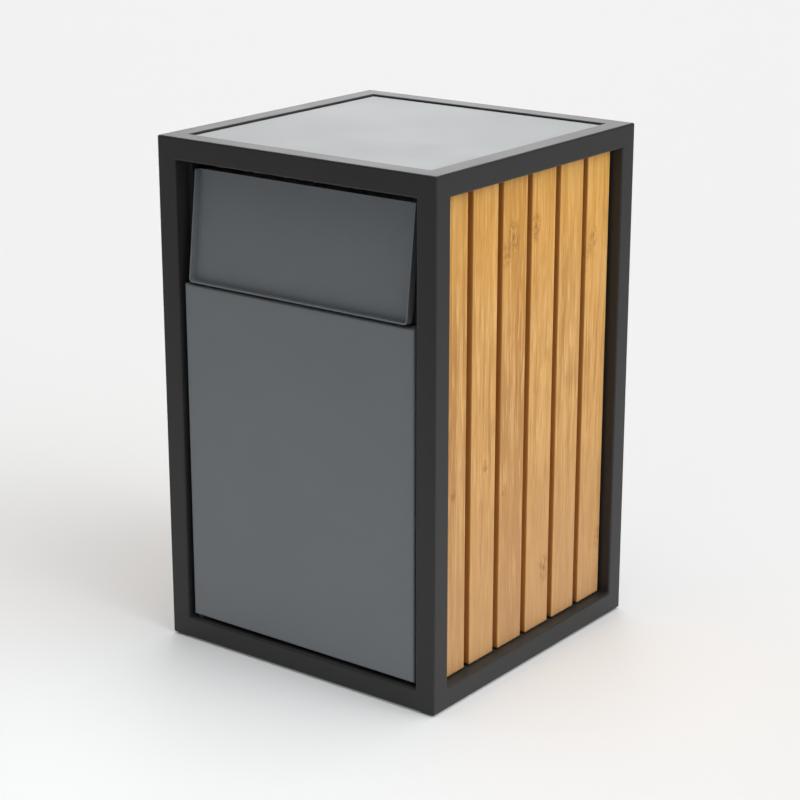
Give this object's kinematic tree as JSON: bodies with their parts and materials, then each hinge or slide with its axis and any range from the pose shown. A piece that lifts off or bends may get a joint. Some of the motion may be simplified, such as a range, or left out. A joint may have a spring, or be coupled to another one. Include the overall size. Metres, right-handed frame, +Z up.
{
  "type": "litter bin",
  "caption": "Square outdoor litter bin: black tube frame, timber slat sides, grey door below a lipped push flap, and a lift-out metal liner.",
  "frame": {"origin": "on the floor, at the centre of the bin's footprint", "axes": "+Z up, the front with the door and flap faces -Y, the bin's right-hand side seen from the front faces +X"},
  "size_m": [0.45, 0.45, 0.702],
  "materials": {
    "black_powder_coat": "fine-textured satin black powder coat on steel",
    "grey_powder_coat": "satin blue-grey powder coat on folded sheet steel",
    "timber": "oiled softwood slats, warm honey colour with faint grain and small knots",
    "zinc_plated_steel": "zinc plating with a black passivated surface",
    "bright_steel": "turned bright bar",
    "galvanised_steel": "hot-dip galvanised with faint spangle",
    "nylon": "black nylon",
    "rubber": "black moulded rubber",
    "magnet_ferrite": "dark ground ferrite"
  },
  "bodies": {
    "frame": {"top_rail_front": "black_powder_coat", "top_rail_rear": "black_powder_coat", "top_rail_left": "black_powder_coat", "top_rail_right": "black_powder_coat", "bottom_rail_front": "black_powder_coat", "bottom_rail_rear": "black_powder_coat", "bottom_rail_left": "black_powder_coat", "bottom_rail_right": "black_powder_coat", "post_front_left": "black_powder_coat", "post_front_right": "black_powder_coat", "post_rear_left": "black_powder_coat", "post_rear_right": "black_powder_coat", "left_lower_batten": "black_powder_coat", "left_upper_batten": "black_powder_coat", "right_lower_batten": "black_powder_coat", "right_upper_batten": "black_powder_coat", "crossbar": "black_powder_coat", "upper_hinge_plate": "black_powder_coat", "flap_bracket_left": "black_powder_coat", "flap_bracket_right": "black_powder_coat", "top_panel": "grey_powder_coat", "rear_panel": "grey_powder_coat", "floor_pan": "grey_powder_coat", "left_slat_1": "timber", "left_slat_2": "timber", "left_slat_3": "timber", "left_slat_4": "timber", "left_slat_5": "timber", "left_slat_6": "timber", "right_slat_1": "timber", "right_slat_2": "timber", "right_slat_3": "timber", "right_slat_4": "timber", "right_slat_5": "timber", "right_slat_6": "timber", "slat_screws": "zinc_plated_steel", "batten_bolts": "zinc_plated_steel", "panel_screws": "zinc_plated_steel", "door_pivot_pins": "bright_steel", "panel_spacers": "nylon", "door_thrust_washer": "nylon", "magnet_sleeve": "nylon", "flap_bushes": "nylon", "feet": "rubber", "flap_stop_buffers": "rubber", "door_magnet": "magnet_ferrite"},
    "door": {"door_panel": "grey_powder_coat", "door_stiffener": "grey_powder_coat", "door_bushes": "nylon", "strike_plate": "zinc_plated_steel"},
    "flap": {"flap_panel": "grey_powder_coat", "flap_axle": "bright_steel", "flap_gussets": "grey_powder_coat", "flap_counterweight": "grey_powder_coat", "counterweight_bolts": "zinc_plated_steel"},
    "liner": {"liner": "galvanised_steel", "liner_rim": "galvanised_steel", "hand_slot_edging": "rubber"}
  },
  "joints": [
    {"name": "door_swing", "type": "hinge", "parent": "frame", "child": "door", "pos_m": [-0.181, -0.212, 0.272], "axis": [0, 0, -1], "range_deg": [0, 100]},
    {"name": "flap_swing", "type": "hinge", "parent": "frame", "child": "flap", "pos_m": [0, -0.18908, 0.64963], "axis": [1, 0, 0], "range_deg": [0, 60]},
    {"name": "liner_lift", "type": "slide", "parent": "frame", "child": "liner", "axis": [0, 0, 1], "range_m": [0, 0.028]}
  ]
}
